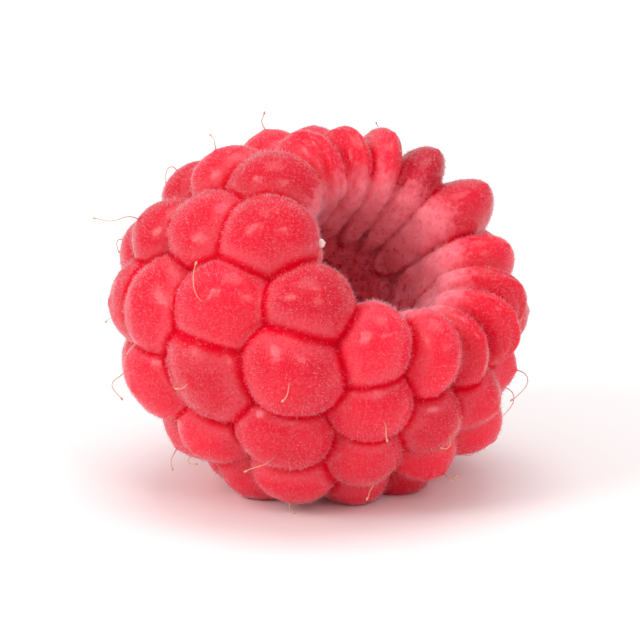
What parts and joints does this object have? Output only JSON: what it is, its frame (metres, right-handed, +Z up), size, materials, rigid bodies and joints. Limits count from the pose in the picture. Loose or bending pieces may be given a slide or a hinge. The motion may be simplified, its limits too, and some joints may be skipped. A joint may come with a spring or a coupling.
{
  "type": "raspberry",
  "caption": "Ripe red raspberry, picked, lying on its side: rows of round drupelets joined round an open conical hollow.",
  "frame": {"origin": "on the surface that the berry lies on, under the middle of its outline seen from above", "axes": "+Z is up, and the berry's mouth faces half up (+Z) and half towards -Y; X is square to the berry's own axis"},
  "size_m": [0.0214, 0.0212, 0.0187],
  "materials": {
    "raspberry_skin": "thin juicy berry skin, satin, with a fine pale down"
  },
  "bodies": {
    "root": {"raspberry": "raspberry_skin"}
  },
  "joints": []
}
